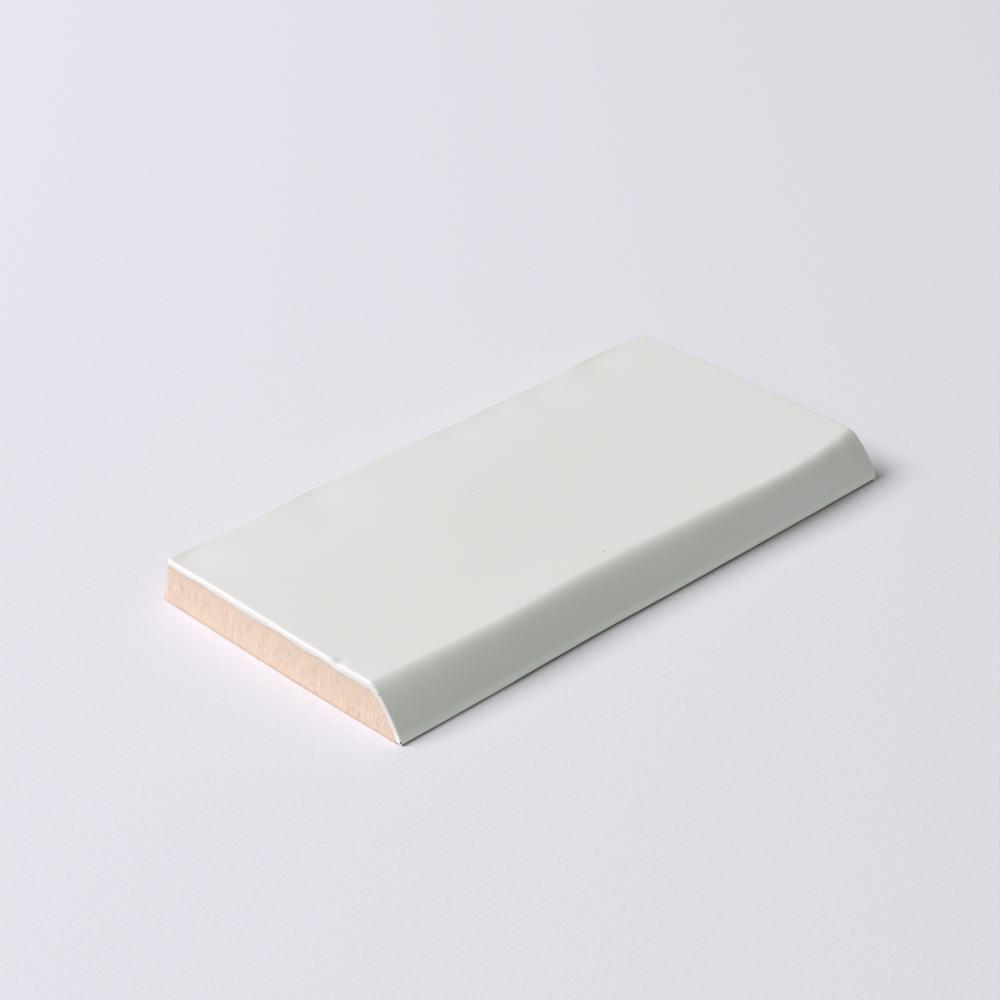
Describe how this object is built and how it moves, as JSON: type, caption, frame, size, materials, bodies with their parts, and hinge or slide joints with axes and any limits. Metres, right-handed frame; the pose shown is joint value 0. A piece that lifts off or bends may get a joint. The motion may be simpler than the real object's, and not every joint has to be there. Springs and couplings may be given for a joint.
{
  "type": "bullnose tile",
  "caption": "Rectangular glazed ceramic wall tile with one long edge rounded down to the back, for finishing the open edge of tiling; bare clay ends, keyed back.",
  "frame": {"origin": "centre of the tile's outline, on the plane of its flat back", "axes": "+X along the tile's length, -Y towards the rounded long edge, +Z out of the glazed face"},
  "size_m": [0.152, 0.0764, 0.0107],
  "materials": {
    "glazed_earthenware": "satin-gloss off-white glaze on a bare peach clay body"
  },
  "bodies": {
    "root": {"bullnose_tile": "glazed_earthenware"}
  },
  "joints": []
}
